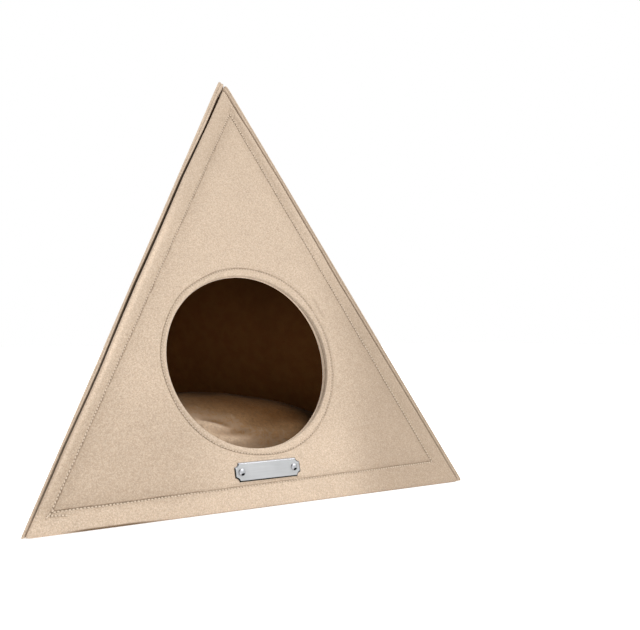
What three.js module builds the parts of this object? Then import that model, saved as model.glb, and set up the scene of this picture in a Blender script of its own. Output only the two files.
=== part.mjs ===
// A pet house of thick beige cloth: three leaning walls on a three-cornered floor, a round doorway in
// the front wall, a filled cushion inside, and a small bare metal plate riveted below the doorway.
// Millimetres, +Z up. +X runs to the right along the front wall, +Y from the front to the back.
// The origin is the middle of the underside of the box round the house.

import * as THREE from 'three';
import { mergeVertices } from 'three/addons/utils/BufferGeometryUtils.js';

// The house
const BASE = 530; // each side of the floor, outside
const HEIGHT = 514; // from the ground to the point where the three outer faces would meet
const FRONT_THICK = 11; // the front wall is padded
const SIDE_THICK = 3.5; // the side walls and the floor
const LINING_THICK = 1.6;
const GAP = 0.3; // between any two pieces

// The front wall
const SLOT_WIDE = 1.7; // open joint between the front wall and a side wall
const SLOT_DEEP = 9; // behind it the back layer of the front wall reaches the side wall
const FRONT_ROUND = 3.6; // roundness of the front wall's outer edges
const FRONT_GROOVE = { half: 1.6, deep: 1.1 }; // pressed in by its stitching
// Corners of the stitched triangle, from the middle of the base and up the slope. It sits a little askew.
const FRONT_STITCHING = [
  { x: 222, y: 28.5 },
  { x: 6, y: 482.3 },
  { x: -236, y: 21.5 },
];

// The side walls
const SIDE_STITCHING = 22; // in from the edges of the house
const SIDE_GROOVE = { half: 1.4, deep: 0.7 };
const SIDE_ROUND = 0.7;

// The doorway
const DOOR_RADIUS = 100;
const DOOR_LEFT = 9.1; // how far its centre lies left of the middle of the wall
const DOOR_UP = 164.8; // centre above the ground, along the slope
const DOOR_SIDES = 96;
// Section through its rim, from the back of the wall to the face: distance out from the edge, depth.
const DOOR_RIM = [
  { out: 2.6, depth: FRONT_THICK },
  { out: 0.8, depth: 10.4 },
  { out: 0, depth: 9 },
  { out: 0.4, depth: 7.4 },
  { out: 1.6, depth: 6.6 },
  { out: 0.4, depth: 5.8 },
  { out: 0, depth: 3.2 },
  { out: 0.7, depth: 1.2 },
  { out: 2.4, depth: 0.1 },
  { out: 4.2, depth: -0.2 },
  { out: 6.4, depth: 0 },
  { out: 7.8, depth: 1.1 },
  { out: 9.2, depth: 0 },
];

// Corner radii of the walls and the floor, seen square on
const CORNER_STEPS = 5;
const PLAIN_CORNER = 1.2;
const LEFT_TIP = 5.8;
const RIGHT_TIP = 5.2;
const FRONT_TIP = 2;

// The cushion
const CUSHION_SIDES = 84;
const CUSHION = {
  reach: 129, // from the middle of the house to the middle of a side
  frontReach: 122,
  squareness: 8, // higher gives tighter corners
  drawIn: 0.018, // how far the sides pull in and the corners stand out
  bottom: SIDE_THICK + GAP,
  seam: 38, // height of its widest line
  crown: 114, // height of its highest point
  crownLeft: 33, // how far the crown lies left of the middle
  spread: 143, // distance from the crown at which the top has fallen to three fifths of its height
};
const CUSHION_TOP_LOOPS = 15;
const CUSHION_BOTTOM_LOOPS = 5;
// Soft troughs in the cushion's cover: middle, direction in degrees, half length, half width, depth.
const CUSHION_FOLDS = [
  { x: -42, y: -100, turn: -14, long: 42, wide: 11, deep: 5 },
  { x: -58, y: -78, turn: -20, long: 34, wide: 12, deep: 3.5 },
  { x: 40, y: -92, turn: 12, long: 40, wide: 14, deep: 3 },
];

// The metal plate and its two rivets
const PLATE = { wide: 80, high: 20.4, thick: 1, scoop: 3.2, left: 6.3, up: 39.6 };
const RIVET_SPACING = 64;
const RIVET = { hole: 1.6, shank: 1.3, head: 4, dome: 1.8 };

// Angles and lengths that follow
const FLOOR_REACH = BASE / (2 * Math.sqrt(3)); // middle of the house to the middle of a base edge
const LEAN = Math.atan(FLOOR_REACH / HEIGHT);
const SLOPE = HEIGHT / Math.cos(LEAN);
const HALF_TIP = Math.atan(BASE / 2 / SLOPE); // half the angle at the top of a wall
const MEETING = Math.acos(Math.cos(LEAN) ** 2 / 2 - Math.sin(LEAN) ** 2); // angle between two walls
const THIRD_TURN = (2 * Math.PI) / 3;

const colours = {
  cloth: new THREE.MeshStandardMaterial({ color: 0xd6c0a6, roughness: 0.95, metalness: 0 }),
  lining: new THREE.MeshStandardMaterial({ color: 0x3a2414, roughness: 1, metalness: 0 }),
  plush: new THREE.MeshStandardMaterial({ color: 0xbfa78a, roughness: 1, metalness: 0 }),
  plate: new THREE.MeshStandardMaterial({ color: 0xc9ccd0, roughness: 0.35, metalness: 1 }),
  rivet: new THREE.MeshStandardMaterial({ color: 0xdcdfe2, roughness: 0.12, metalness: 1 }),
};

// A closed surface, put together from triangles that face outwards.
class Skin {
  constructor() {
    this.corners = [];
  }

  triangle(a, b, c) {
    this.corners.push(...a.toArray(), ...b.toArray(), ...c.toArray());
  }

  // Joins each loop of points to the next one in the list.
  bands(loops) {
    for (let row = 0; row + 1 < loops.length; row += 1) {
      const from = loops[row];
      const to = loops[row + 1];
      for (let i = 0; i < from.length; i += 1) {
        const next = (i + 1) % from.length;
        this.triangle(from[i], to[i], to[next]);
        this.triangle(from[i], to[next], from[next]);
      }
    }
  }

  // Closes a loop with triangles round one middle point.
  fan(loop, middle, away) {
    loop.forEach((point, i) => {
      const next = loop[(i + 1) % loop.length];
      if (away) this.triangle(middle, next, point);
      else this.triangle(middle, point, next);
    });
  }

  // Fills the flat area inside a loop and outside its holes. The loops lie square to Y.
  flat(loop, holes, away) {
    const seen = (points) => points.map((p) => new THREE.Vector2(p.x, p.z));
    const all = [loop, ...holes].flat();
    const faces = THREE.ShapeUtils.triangulateShape(seen(loop), holes.map(seen));
    for (const [a, b, c] of faces) {
      if (away) this.triangle(all[a], all[c], all[b]);
      else this.triangle(all[a], all[b], all[c]);
    }
  }

  mesh(name, material) {
    const geometry = new THREE.BufferGeometry();
    geometry.setAttribute('position', new THREE.Float32BufferAttribute(this.corners, 3));
    const merged = mergeVertices(geometry, 1e-3);
    merged.computeVertexNormals();
    return namedMesh(name, merged, material);
  }
}

function namedMesh(name, geometry, material) {
  const mesh = new THREE.Mesh(geometry, material);
  mesh.name = name;
  return mesh;
}

// Where two straight edges meet. An edge has the angle of its outward normal and a reach from the origin.
function meet(a, b) {
  const turn = Math.sin(b.angle - a.angle);
  return new THREE.Vector2(
    (a.reach * Math.sin(b.angle) - b.reach * Math.sin(a.angle)) / turn,
    (b.reach * Math.cos(a.angle) - a.reach * Math.cos(b.angle)) / turn,
  );
}

// A triangle with round corners. Corner number n lies between edge n and the edge after it.
function roundedTriangle(edges, radii) {
  return edges.flatMap((edge, n) => {
    const next = edges[(n + 1) % edges.length];
    const radius = radii[n];
    const inner = (e) => ({ angle: e.angle, reach: e.reach - radius });
    const centre = meet(inner(edge), inner(next));
    const turn = (next.angle - edge.angle + 2 * Math.PI) % (2 * Math.PI);
    return Array.from({ length: CORNER_STEPS + 1 }, (_, step) => {
      const angle = edge.angle + (turn * step) / CORNER_STEPS;
      return new THREE.Vector2(Math.cos(angle), Math.sin(angle)).multiplyScalar(radius).add(centre);
    });
  });
}

// The outline of a wall at one depth below its outer face, in the wall's own frame: X along the base,
// Y into the wall, Z up the slope. left and right are the distances kept from the outer faces of the
// two neighbours, floor is the height of the lower edge, and inset draws in all three edges.
function wallOutline({ depth, left = 0, right = 0, floor = 0, inset = 0 }, radii) {
  const slant = depth / Math.tan(MEETING);
  const half = (BASE / 2) * Math.cos(HALF_TIP);
  const lower = floor / Math.cos(LEAN) + depth * Math.tan(LEAN);
  const edges = [
    { angle: -Math.PI / 2, reach: -lower - inset },
    { angle: HALF_TIP, reach: half - right / Math.sin(MEETING) - slant - inset },
    { angle: Math.PI - HALF_TIP, reach: half - left / Math.sin(MEETING) - slant - inset },
  ];
  return roundedTriangle(edges, radii).map((p) => new THREE.Vector3(p.x, depth, p.y));
}

// Rows across a groove that stitching presses into a face: how far inwards, and how deep.
function grooveRows({ half, deep }) {
  return [
    { inwards: half, depth: 0 },
    { inwards: 0, depth: deep },
    { inwards: -half, depth: 0 },
  ];
}

// The edge through two points that lie on the way round with the inside on the left.
function edgeThrough(from, to) {
  const angle = Math.atan2(from.x - to.x, to.y - from.y);
  return { angle, reach: from.x * Math.cos(angle) + from.y * Math.sin(angle) };
}

// The outlines of the groove along the front wall's stitched triangle.
function frontGroove() {
  const corners = [PLAIN_CORNER, PLAIN_CORNER, PLAIN_CORNER];
  const sides = FRONT_STITCHING.map((to, n) => edgeThrough(FRONT_STITCHING.at(n - 1), to));
  return grooveRows(FRONT_GROOVE).map(({ inwards, depth }) => {
    const edges = sides.map(({ angle, reach }) => ({ angle, reach: reach - inwards }));
    return roundedTriangle(edges, corners).map((p) => new THREE.Vector3(p.x, depth, p.y));
  });
}

// Rows of a quarter round that turns from the face into an edge.
function roundRows(radius, steps, place) {
  return Array.from({ length: steps + 1 }, (_, step) => {
    const angle = (step / steps) * (Math.PI / 2);
    return {
      ...place,
      inset: radius * (1 - Math.sin(angle)),
      depth: radius * (1 - Math.cos(angle)),
    };
  });
}

function doorLoops() {
  return DOOR_RIM.map(({ out, depth }) =>
    Array.from({ length: DOOR_SIDES }, (_, i) => {
      const angle = (i / DOOR_SIDES) * 2 * Math.PI;
      return new THREE.Vector3(
        (DOOR_RADIUS + out) * Math.cos(angle) - DOOR_LEFT,
        depth,
        (DOOR_RADIUS + out) * Math.sin(angle) + DOOR_UP,
      );
    }),
  );
}

// A wall from its outlines, listed from the field of its face to the field of its back.
function wall(name, material, outlines, door) {
  const skin = new Skin();
  skin.flat(outlines[0], door ? [door.at(-1)] : [], false);
  skin.bands(outlines);
  skin.flat(outlines.at(-1), door ? [door[0]] : [], true);
  if (door) skin.bands(door);
  return skin.mesh(name, material);
}

function frontPanel() {
  const slot = { left: SIDE_THICK + SLOT_WIDE, right: SIDE_THICK + SLOT_WIDE };
  const lip = { left: SIDE_THICK + GAP, right: SIDE_THICK + GAP };
  const rows = [
    ...roundRows(FRONT_ROUND, 4, slot),
    { ...slot, depth: SLOT_DEEP },
    { ...lip, depth: SLOT_DEEP },
    { ...lip, depth: FRONT_THICK },
  ];
  const radii = [PLAIN_CORNER, FRONT_TIP, PLAIN_CORNER];
  const outlines = [...frontGroove(), ...rows.map((row) => wallOutline(row, radii))];
  return wall('front_panel', colours.cloth, outlines, doorLoops());
}

function sidePanel(name, place, radii) {
  const groove = grooveRows(SIDE_GROOVE).map(({ inwards, depth }) => {
    return { depth, inset: SIDE_STITCHING + inwards };
  });
  const rows = [
    ...groove,
    ...roundRows(SIDE_ROUND, 2, place),
    { ...place, depth: SIDE_THICK },
  ];
  const outlines = rows.map((row) => wallOutline(row, radii));
  return wall(name, colours.cloth, outlines, null);
}

function lining(name, place) {
  const depth = SIDE_THICK + GAP;
  const stand = { ...place, floor: SIDE_THICK + GAP };
  const radii = [PLAIN_CORNER, PLAIN_CORNER, PLAIN_CORNER];
  const outlines = [depth, depth + LINING_THICK].map((d) => wallOutline({ ...stand, depth: d }, radii));
  return wall(name, colours.lining, outlines, null);
}

// The outline of the floor at one height. It stays clear of the inner faces of the three walls.
function floorOutline(height) {
  const edge = (angle, wallThick) => ({
    angle,
    reach: FLOOR_REACH - height * Math.tan(LEAN) - (wallThick + GAP) / Math.cos(LEAN),
  });
  const front = edge(-Math.PI / 2, FRONT_THICK);
  const right = edge(Math.PI / 6, SIDE_THICK);
  const left = edge((5 * Math.PI) / 6, SIDE_THICK);
  const radii = [PLAIN_CORNER, PLAIN_CORNER, PLAIN_CORNER];
  return roundedTriangle([front, right, left], radii).map((p) => new THREE.Vector3(p.x, p.y, height));
}

function floorPanel() {
  const lower = floorOutline(0);
  const upper = floorOutline(SIDE_THICK);
  const skin = new Skin();
  skin.fan(upper, new THREE.Vector3(0, 0, SIDE_THICK), false);
  skin.bands([upper, lower]);
  skin.fan(lower, new THREE.Vector3(0, 0, 0), true);
  return skin.mesh('floor_panel', colours.cloth);
}

// How far the cushion reaches from the middle of the house in one direction.
function cushionReach(angle) {
  const sides = [
    { angle: -Math.PI / 2, reach: CUSHION.frontReach },
    { angle: Math.PI / 6, reach: CUSHION.reach },
    { angle: (5 * Math.PI) / 6, reach: CUSHION.reach },
  ];
  const sum = sides.reduce((total, side) => {
    const towards = Math.max(0, Math.cos(angle - side.angle)) / side.reach;
    return total + towards ** CUSHION.squareness;
  }, 0);
  const sideways = 1 - CUSHION.drawIn * Math.cos(3 * (angle + Math.PI / 2));
  return sum ** (-1 / CUSHION.squareness) * sideways;
}

function foldDepth(x, y) {
  return CUSHION_FOLDS.reduce((total, fold) => {
    const turn = THREE.MathUtils.degToRad(fold.turn);
    const along = (x - fold.x) * Math.cos(turn) + (y - fold.y) * Math.sin(turn);
    const across = (y - fold.y) * Math.cos(turn) - (x - fold.x) * Math.sin(turn);
    return total + fold.deep * Math.exp(-((along / fold.long) ** 2) - (across / fold.wide) ** 2);
  }, 0);
}

// Height of the crowned top above the cushion's seam.
function crownHeight(x, y) {
  const away = (x + CUSHION.crownLeft) ** 2 + y ** 2;
  const fall = Math.exp(-away / (2 * CUSHION.spread ** 2));
  return (CUSHION.crown - CUSHION.seam) * fall - foldDepth(x, y);
}

// One loop of the cushion. part is its size as a share of the full outline, and rise goes from -1 at
// the bottom over 0 at the seam to 1 at the crowned top.
function cushionLoop(part, rise) {
  return Array.from({ length: CUSHION_SIDES }, (_, i) => {
    const angle = (i / CUSHION_SIDES) * 2 * Math.PI;
    const out = part * cushionReach(angle);
    const x = out * Math.cos(angle);
    const y = out * Math.sin(angle);
    const height = rise > 0 ? crownHeight(x, y) : CUSHION.seam - CUSHION.bottom;
    return new THREE.Vector3(x, y, CUSHION.seam + rise * height);
  });
}

function cushion() {
  const upper = Array.from({ length: CUSHION_TOP_LOOPS }, (_, i) => {
    const angle = (1 - i / CUSHION_TOP_LOOPS) * (Math.PI / 2) * 0.98;
    return cushionLoop(Math.cos(angle) ** (1 / 3), Math.sin(angle));
  });
  const lower = Array.from({ length: CUSHION_BOTTOM_LOOPS + 1 }, (_, i) => {
    const angle = (i / CUSHION_BOTTOM_LOOPS) * (Math.PI / 2) * 0.8;
    return cushionLoop(Math.cos(angle) ** (1 / 4), -Math.sin(angle) / Math.sin(Math.PI * 0.4));
  });
  const skin = new Skin();
  skin.fan(upper[0], new THREE.Vector3(0, 0, CUSHION.seam + crownHeight(0, 0)), false);
  skin.bands([...upper, ...lower]);
  skin.fan(lower.at(-1), new THREE.Vector3(0, 0, CUSHION.bottom), true);
  return skin.mesh('cushion', colours.plush);
}

// The plate stands on the face of the front wall, in that wall's frame.
function namePlate() {
  const right = PLATE.wide / 2;
  const top = PLATE.high / 2;
  const shape = new THREE.Shape();
  shape.absarc(right, -top, PLATE.scoop, Math.PI, Math.PI / 2, true);
  shape.absarc(right, top, PLATE.scoop, -Math.PI / 2, -Math.PI, true);
  shape.absarc(-right, top, PLATE.scoop, 0, -Math.PI / 2, true);
  shape.absarc(-right, -top, PLATE.scoop, Math.PI / 2, 0, true);
  for (const side of [-1, 1]) {
    const hole = new THREE.Path().absarc((side * RIVET_SPACING) / 2, 0, RIVET.hole, 0, 2 * Math.PI, true);
    shape.holes.push(hole);
  }
  const geometry = new THREE.ExtrudeGeometry(shape, {
    depth: PLATE.thick,
    bevelEnabled: false,
    curveSegments: 10,
  });
  geometry.rotateX(Math.PI / 2);
  const mesh = namedMesh('name_plate', geometry, colours.plate);
  mesh.position.set(-PLATE.left, -GAP, PLATE.up);
  return mesh;
}

function rivet(name, side) {
  const neck = PLATE.thick + GAP;
  const dome = Array.from({ length: 7 }, (_, step) => {
    const angle = (step / 6) * (Math.PI / 2);
    return new THREE.Vector2(RIVET.head * Math.cos(angle), neck + RIVET.dome * Math.sin(angle));
  });
  dome[dome.length - 1].x = 0;
  const profile = [
    new THREE.Vector2(0, 0),
    new THREE.Vector2(RIVET.shank, 0),
    new THREE.Vector2(RIVET.shank, neck),
    ...dome,
  ];
  const geometry = new THREE.LatheGeometry(profile, 20);
  geometry.rotateX(Math.PI);
  const mesh = namedMesh(name, geometry, colours.rivet);
  mesh.position.set((side * RIVET_SPACING) / 2 - PLATE.left, -GAP, PLATE.up);
  return mesh;
}

// Places a wall's pieces: they lean back by LEAN on their base edge, which is turned round the middle.
function raised(turn, ...pieces) {
  const leaning = new THREE.Group();
  leaning.position.y = -FLOOR_REACH;
  leaning.rotation.x = -LEAN;
  leaning.add(...pieces);
  const turned = new THREE.Group();
  turned.rotation.z = turn;
  turned.add(leaning);
  return turned;
}

// The left wall covers the back edge of the right one. Behind them the linings meet in the same way.
const behindSide = SIDE_THICK + GAP;
const behindFront = FRONT_THICK + GAP;
const leftTip = [PLAIN_CORNER, LEFT_TIP, PLAIN_CORNER];
const rightTip = [PLAIN_CORNER, RIGHT_TIP, PLAIN_CORNER];
const front = raised(0, frontPanel(), namePlate(), rivet('rivet_left', -1), rivet('rivet_right', 1));
const left = raised(
  -THIRD_TURN,
  sidePanel('side_panel_left', { left: 0, right: 0 }, leftTip),
  lining('lining_left', { left: behindSide, right: behindFront }),
);
const right = raised(
  THIRD_TURN,
  sidePanel('side_panel_right', { left: 0, right: behindSide }, rightTip),
  lining('lining_right', { left: behindFront, right: behindSide + LINING_THICK + GAP }),
);

const house = new THREE.Group();
house.add(front, left, right, floorPanel(), cushion());
const middle = new THREE.Box3().setFromObject(house, true).getCenter(new THREE.Vector3());
house.position.set(-middle.x, -middle.y, 0);

const petHouse = new THREE.Group();
petHouse.add(house);

export default petHouse;
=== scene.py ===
"""The pet house as it looks: felt walls, topstitching, doorway rim, plush cushion and bare metal plate.

Lengths are in millimetres until a mesh is made, which is in metres. Each wall has a frame of its own:
u along its base from the middle, v up its slope from the ground, and height out from its outer face.
"""

import math

import bmesh
import bpy
import numpy as np
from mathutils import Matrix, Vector, noise


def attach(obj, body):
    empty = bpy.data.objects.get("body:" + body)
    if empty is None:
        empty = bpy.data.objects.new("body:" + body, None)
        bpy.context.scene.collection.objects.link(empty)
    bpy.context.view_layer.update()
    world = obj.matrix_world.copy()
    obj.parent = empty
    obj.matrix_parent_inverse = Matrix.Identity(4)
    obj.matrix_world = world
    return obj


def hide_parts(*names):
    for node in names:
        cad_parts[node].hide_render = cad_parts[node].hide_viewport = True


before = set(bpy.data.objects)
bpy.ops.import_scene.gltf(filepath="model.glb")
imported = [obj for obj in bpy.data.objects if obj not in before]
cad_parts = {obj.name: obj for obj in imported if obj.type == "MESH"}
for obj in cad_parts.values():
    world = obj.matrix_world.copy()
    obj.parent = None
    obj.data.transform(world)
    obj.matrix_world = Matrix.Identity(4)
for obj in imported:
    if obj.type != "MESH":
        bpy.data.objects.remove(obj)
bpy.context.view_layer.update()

# The house, as in the solids
BASE = 530.0
HEIGHT = 514.0  # of the point where the walls' outer faces would meet
FRONT_THICK = 11.0
SIDE_THICK = 3.5
LINING_THICK = 1.6
GAP = 0.3
AXIS_Y = -75.6  # where the upright line through the tip stands
FLOOR_REACH = BASE / (2 * math.sqrt(3))  # from that line to a wall's foot
LEAN = math.atan(FLOOR_REACH / HEIGHT)
SLOPE = HEIGHT / math.cos(LEAN)
HALF_TIP = math.atan(BASE / 2 / SLOPE)
MEETING = math.acos(math.cos(LEAN) ** 2 / 2 - math.sin(LEAN) ** 2)  # angle between two walls
THIRD_TURN = 2 * math.pi / 3
HEART_UP = BASE * SLOPE / (BASE + 2 * math.hypot(BASE / 2, SLOPE))  # middle of a wall's inner circle
HEART = (np.zeros(2), np.full(2, HEART_UP))  # u and v of that middle, for a wall's two faces

# Open joints beside the front wall
SLOT_DEEP = 9.0
SLOT_SHALLOW = 2.6  # their depth at the tip and at the ground
LEFT_SLOT_HALF = 0.75  # half the width of the left joint
LEFT_SLOT_MORE = 0.3  # what is added to that half way up
RIGHT_SLOT_HALF = 0.5
LEFT_SLOT = [  # height up the slope, distance of the joint's middle from the wall's outer edge
    (0, 2.2), (31, 2.5), (54, 2.8), (80, 2.7), (105, 3.4), (132, 4.2), (160, 4.5), (189, 4.0), (219, 3.6),
    (251, 3.4), (283, 4.0), (317, 4.4), (389, 4.5), (429, 5.9), (469, 7.3), (512, 7.9), (540, 7.9),
]
RIGHT_SLOT = [
    (0, 4.2), (120, 4.9), (228, 5.5), (263, 6.0), (285, 5.7), (316, 4.9), (342, 4.9), (369, 4.5),
    (398, 4.2), (421, 4.8), (466, 5.2), (483, 6.4), (540, 6.8),
]
FRONT_ROUND = 2.3  # radius of the front wall's outer edge
LIP = 2.4  # where the joint's wall ends and that rounding begins
SEAM_SINK = 1.5  # how far the stitched seam pulls the padding in, in a wide valley
VALLEY_HALF = 3.4  # half the width of the narrow valley under the border stitches
RING_VALLEY_OUT = 3.2  # how far the valley under the ring stitches reaches away from the doorway
RING_VALLEY_IN = 2.1  # and how far towards it

# Topstitching of the front wall: its corners, and short rows where the seam begins and ends
STITCH_CORNERS = [(222, 28.5), (6, 482.3), (-236, 21.5)]
STITCH_TAILS = [((-233.5, 24), (-241.5, 15.6)), ((-240.5, 18.6), (-221, 16.9))]
STITCH_PITCH = 3.5
SIDE_STITCHING = 22.0  # how far inside a side wall's edge its stitches run
CUT_ROUND = 0.5  # radius of that edge

# The doorway. Angles run from the right and anticlockwise, as seen from outside
DOOR = (-9.1, 164.8)
DOOR_RADIUS = 100.0
RING_STITCHING = [  # every 15 degrees, distance of the stitching from the edge of the doorway
    6.4, 6.9, 7.8, 9.5, 10.4, 9.8, 9.3, 8.2, 6.6, 7.1, 6.0, 5.9,
    6.3, 5.6, 6.0, 6.8, 7.0, 6.5, 7.0, 9.1, 10.1, 9.5, 8.4, 7.5,
]
RIM_OUT = [0, 0, 0, 0, 0, 0, 0, 0, 0.7, 1.2, 1.4, 0.6]  # every 30 degrees, how far the edge is out of round
RIM_ROLL = 2.1  # radius with which the edge rolls in
RIM_DEPTH = [13, 10.5, 7, 6.4, 8.5, 11, 12, 12, 12, 12.5, 12.5, 13]  # how far the inner facing reaches in
CREASE = ((85, 238), (96, 216))  # a short crease above the doorway's right side

PLATE = {"u": -6.3, "v": 39.6, "wide": 80.0, "high": 20.4, "scoop": 4.5}
PLATE_FACE = 1.3  # how high the plate's face stands off the wall
RIVET_SPACING = 64.0
RIVET_HEAD = 3.96  # radius of a rivet's dome
RIVET_SHOULDER = 1.45  # where the dome begins
RIVET_CROWN = 1.6  # how high the dome is

# How sharp the corners of an outline are
WALL_CORNERS = 110
INNER_CORNERS = 160
SEAM_CORNERS = 220

FRONT_FACING = (0, -0.958, 0.285)  # the way the front wall faces


# Small tools

def from_table(table, at):
    spots, values = zip(*table)
    return np.interp(at, spots, values)


def from_round_table(values, angle):
    """Smooth value at an angle, from values at equal steps of a full turn."""
    values = np.asarray(values, float)
    place = (np.asarray(angle) % (2 * math.pi)) / (2 * math.pi) * len(values)
    low = np.floor(place).astype(int)
    t = place - low
    p0, p1, p2, p3 = (values[(low + k) % len(values)] for k in (-1, 0, 1, 2))
    curve = (2 * p0 - 5 * p1 + 4 * p2 - p3) * t**2 + (3 * p1 - p0 - 3 * p2 + p3) * t**3
    return p1 + 0.5 * ((p2 - p0) * t + curve)


def wander(seed, size, *coordinates):
    """Smooth noise from about -1 to 1 over points, with bumps of that size."""
    points = np.broadcast_arrays(*coordinates)
    flat = [p.ravel() / size for p in points] + [np.zeros(points[0].size)] * (3 - len(points))
    shift = (seed * 17.3, seed * 5.1, seed * 9.7)
    values = [noise.noise(Vector((a + shift[0], b + shift[1], c + shift[2]))) for a, b, c in zip(*flat)]
    return np.array(values).reshape(points[0].shape)


def away_from_segment(u, v, start, end):
    """Distance of points from a short line."""
    (x0, y0), (x1, y1) = start, end
    length = math.hypot(x1 - x0, y1 - y0)
    along = ((u - x0) * (x1 - x0) + (v - y0) * (y1 - y0)) / length
    nearest = np.clip(along, 0, length)
    return np.hypot(u - x0 - nearest * (x1 - x0) / length, v - y0 - nearest * (y1 - y0) / length)


def ease(low, high, value):
    t = np.clip((value - low) / (high - low), 0, 1)
    return t * t * (3 - 2 * t)


def stand(turn, u, height, v):
    """Points of a wall's frame in the row frame, in metres."""
    y = -FLOOR_REACH + v * math.sin(LEAN) - height * math.cos(LEAN)
    z = v * math.cos(LEAN) + height * math.sin(LEAN)
    x = u * math.cos(turn) - y * math.sin(turn)
    y = u * math.sin(turn) + y * math.cos(turn) + AXIS_Y
    return np.stack([x, y, z], -1) * 0.001


def make_piece(name, points, faces, material, replaces=(), shade=None, smooth=True):
    """A piece from points in metres. shade is painted shade that darkens the cloth at a point; below 0 it is
    painted light that makes felt paler.
    """
    mesh = bpy.data.meshes.new(name)
    mesh.from_pydata(points.reshape(-1, 3).tolist(), [], faces)
    shaper = bmesh.new()
    shaper.from_mesh(mesh)
    bmesh.ops.recalc_face_normals(shaper, faces=shaper.faces)
    shaper.to_mesh(mesh)
    shaper.free()
    if smooth:
        mesh.shade_smooth()
    if shade is not None:
        layer = mesh.attributes.new("shade", "FLOAT", "POINT")
        layer.data.foreach_set("value", np.asarray(shade, np.float32).ravel())
    piece = bpy.data.objects.new(name, mesh)
    bpy.context.scene.collection.objects.link(piece)
    mesh.materials.append(material)
    return settle(piece, replaces)


def settle(piece, replaces=()):
    """Says which body carries the piece and the nodes that it stands for."""
    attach(piece, "root")
    if replaces:
        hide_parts(*replaces)
    return piece


def band_faces(rows, count, joined):
    """Faces between neighbouring closed rows of points. joined ties the last row to the first."""
    row = np.arange(rows if joined else rows - 1)[:, None]
    column = np.arange(count)[None, :]
    beside = (column + 1) % count
    above = (row + 1) % rows
    corners = [row * count + column, row * count + beside, above * count + beside, above * count + column]
    return np.stack([np.broadcast_to(c, (len(row), count)) for c in corners], -1).reshape(-1, 4).tolist()


def closing_faces(rows, count):
    """Fans that close the first and the last row, each round a point added after the grid's own."""
    first, last = rows * count, rows * count + 1
    top = (rows - 1) * count
    fans = []
    for i in range(count):
        beside = (i + 1) % count
        fans.append((first, beside, i))
        fans.append((last, top + i, top + beside))
    return fans


def closed_body(rows, middles):
    """Points and faces of a body made of closed rows of points and the middle points of its two ends."""
    rows = np.array(rows)
    number, count = rows.shape[:2]
    faces = band_faces(number, count, False) + closing_faces(number, count)
    return np.concatenate([rows.reshape(-1, 3), middles]), faces


# Outlines of the walls, as distances along rays from the heart of the wall

def soft_polygon(angle, edges, tightness):
    """Distance to a polygon with soft corners. An edge has the angle of its outward normal and a reach."""
    nearest = np.minimum.reduce(np.broadcast_arrays(*[reach for _, reach in edges]))
    shares = [np.maximum(np.cos(angle - normal), 0) * nearest / reach for normal, reach in edges]
    return nearest * sum(share**tightness for share in shares) ** (-1 / tightness)


def even_rays(count, edges, tightness):
    """Angles of rays that cut an outline at equal steps."""
    angle = np.linspace(-math.pi, math.pi, 40001)
    reach = soft_polygon(angle, edges, tightness)
    steps = np.hypot(np.diff(reach * np.cos(angle)), np.diff(reach * np.sin(angle)))
    along = np.concatenate([[0], np.cumsum(steps)])
    return np.interp(np.arange(count) / count * along[-1], along, angle)


def wall_edges(depth, inset, left, right, floor=0.0, top=None):
    """Edges of a wall's outline below its outer face. left and right are margins in the wall's plane."""
    slant = depth / math.tan(MEETING)
    edges = [
        (-math.pi / 2, HEART_UP - floor / math.cos(LEAN) - depth * math.tan(LEAN) - inset),
        (HALF_TIP, HEART_UP - right - slant - inset),
        (math.pi - HALF_TIP, HEART_UP - left - slant - inset),
    ]
    if top is not None:
        edges.append((math.pi / 2, top - HEART_UP - inset))
    return edges


def wall_loop(angle, edges, tightness=WALL_CORNERS):
    reach = soft_polygon(angle, edges, tightness)
    return reach * np.cos(angle), HEART_UP + reach * np.sin(angle)


def edge_between(start, end):
    """The edge through two points on the way round, with the inside on the left."""
    normal = math.atan2(start[0] - end[0], end[1] - start[1])
    return normal, start[0] * math.cos(normal) + (start[1] - HEART_UP) * math.sin(normal)


def smooth_bump(x):
    return np.exp(-(x**2))


# Materials

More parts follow.
